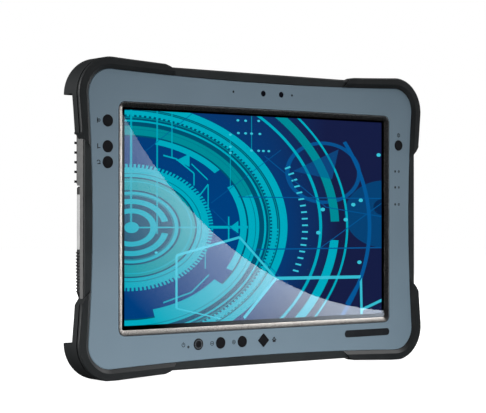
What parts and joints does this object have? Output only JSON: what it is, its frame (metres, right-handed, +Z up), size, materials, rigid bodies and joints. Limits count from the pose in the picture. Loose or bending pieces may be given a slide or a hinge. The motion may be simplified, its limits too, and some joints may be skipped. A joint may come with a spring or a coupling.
{
  "type": "rugged tablet data collector",
  "caption": "Rugged handheld tablet with a framed landscape display, corner bumpers, front keys, side stylus, port door and a latched rear battery.",
  "frame": {"origin": "bottom centre of the bounding box, midway between the lower bumpers and midway through the depth", "axes": "+X to the user's right along the display's long side, -Y out of the display towards the user, +Z up the display"},
  "size_m": [0.2874, 0.0214, 0.201],
  "materials": {
    "panel_paint": "satin powder coat",
    "frame_black": "fine matt",
    "shell_grey": "fine spark texture",
    "bumper_rubber": "matt moulded",
    "trim_cast": "bead blasted",
    "cover_glass": "polished",
    "mask_black": "printed",
    "display_lit": "lit display",
    "chassis_metal": "satin",
    "circuit_board": "solder mask",
    "module_metal": "satin",
    "key_rubber": "satin",
    "ring_light": "satin",
    "lens_dark": "polished",
    "mesh_black": "woven mesh",
    "light_pipe": "clear moulded",
    "plate_dark": "anodised",
    "battery_black": "fine spark texture",
    "contact_gold": "gold plated",
    "latch_black": "satin",
    "stylus_pale": "satin",
    "stylus_black": "matt",
    "grip_rubber": "matt moulded",
    "door_rubber": "matt moulded",
    "port_metal": "nickel plated",
    "screw_black": "black oxide",
    "insert_brass": "machined",
    "dock_black": "satin"
  },
  "bodies": {
    "tablet": {"front_panel": "panel_paint", "front_frame": "frame_black", "display_trim": "trim_cast", "touch_glass": "cover_glass", "display_mask": "mask_black", "display_cell": "display_lit", "backlight": "module_metal", "chassis_plate": "chassis_metal", "side_frame": "shell_grey", "rear_shell": "shell_grey", "bumper_upper_right": "bumper_rubber", "bumper_upper_left": "bumper_rubber", "bumper_lower_right": "bumper_rubber", "bumper_lower_left": "bumper_rubber", "camera_lens": "lens_dark", "light_sensor": "lens_dark", "eye_housings": "mesh_black", "mic_meshes": "mesh_black", "status_lights": "light_pipe", "power_light": "light_pipe", "name_plate": "plate_dark", "main_board": "circuit_board", "heat_spreader": "chassis_metal", "storage_module": "circuit_board", "radio_module": "module_metal", "speakers": "mesh_black", "rear_camera": "frame_black", "rear_camera_lens": "lens_dark", "flash_light": "light_pipe", "key_board_left": "circuit_board", "key_board_bottom": "circuit_board", "key_board_right": "circuit_board", "battery_connector": "dock_black", "grip_left": "grip_rubber", "grip_right": "grip_rubber", "port_frame": "shell_grey", "usb_ports": "port_metal", "video_port": "port_metal", "shell_screws": "screw_black", "mount_inserts": "insert_brass", "dock_connector": "dock_black", "dock_pads": "contact_gold"},
    "fn_button": {"fn_button": "key_rubber"},
    "f1_button": {"f1_button": "key_rubber"},
    "f2_button": {"f2_button": "key_rubber"},
    "power_button": {"power_button": "key_rubber", "power_ring": "ring_light"},
    "minus_button": {"minus_button": "key_rubber"},
    "plus_button": {"plus_button": "key_rubber"},
    "home_button": {"home_button": "key_rubber"},
    "p_button": {"p_button": "key_rubber"},
    "stylus": {"stylus_barrel": "stylus_pale", "stylus_cap": "stylus_black", "stylus_grip": "stylus_black"},
    "battery": {"battery_pack": "battery_black", "battery_contacts": "contact_gold"},
    "latch_left": {"latch_left": "latch_black"},
    "latch_right": {"latch_right": "latch_black"},
    "port_door": {"port_door": "door_rubber", "door_pin": "port_metal"}
  },
  "joints": [
    {"name": "fn_press", "type": "slide", "parent": "tablet", "child": "fn_button", "axis": [0, 1, 0], "range_m": [0, 0.0005], "stiffness_N_per_m": 2000, "springref_m": -0.0002},
    {"name": "f1_press", "type": "slide", "parent": "tablet", "child": "f1_button", "axis": [0, 1, 0], "range_m": [0, 0.0005], "stiffness_N_per_m": 2000, "springref_m": -0.0002},
    {"name": "f2_press", "type": "slide", "parent": "tablet", "child": "f2_button", "axis": [0, 1, 0], "range_m": [0, 0.0005], "stiffness_N_per_m": 2000, "springref_m": -0.0002},
    {"name": "power_press", "type": "slide", "parent": "tablet", "child": "power_button", "axis": [0, 1, 0], "range_m": [0, 0.0005], "stiffness_N_per_m": 2000, "springref_m": -0.0002},
    {"name": "minus_press", "type": "slide", "parent": "tablet", "child": "minus_button", "axis": [0, 1, 0], "range_m": [0, 0.0005], "stiffness_N_per_m": 2000, "springref_m": -0.0002},
    {"name": "plus_press", "type": "slide", "parent": "tablet", "child": "plus_button", "axis": [0, 1, 0], "range_m": [0, 0.0005], "stiffness_N_per_m": 2000, "springref_m": -0.0002},
    {"name": "home_press", "type": "slide", "parent": "tablet", "child": "home_button", "axis": [0, 1, 0], "range_m": [0, 0.0005], "stiffness_N_per_m": 2000, "springref_m": -0.0002},
    {"name": "p_press", "type": "slide", "parent": "tablet", "child": "p_button", "axis": [0, 1, 0], "range_m": [0, 0.0005], "stiffness_N_per_m": 2000, "springref_m": -0.0002},
    {"name": "stylus_pull", "type": "slide", "parent": "tablet", "child": "stylus", "axis": [-1, 0, 0], "range_m": [0, 0.03]},
    {"name": "battery_release", "type": "slide", "parent": "tablet", "child": "battery", "axis": [0, 1, 0], "range_m": [0, 0.025]},
    {"name": "latch_left_slide", "type": "slide", "parent": "tablet", "child": "latch_left", "axis": [-1, 0, 0], "range_m": [0, 0.005], "stiffness_N_per_m": 300, "springref_m": -0.003},
    {"name": "latch_right_slide", "type": "slide", "parent": "tablet", "child": "latch_right", "axis": [1, 0, 0], "range_m": [0, 0.005], "stiffness_N_per_m": 300, "springref_m": -0.003},
    {"name": "port_door_hinge", "type": "hinge", "parent": "tablet", "child": "port_door", "pos_m": [0.1383, -0.0058, 0.09535], "axis": [0, 0, -1], "range_deg": [0, 90]}
  ]
}
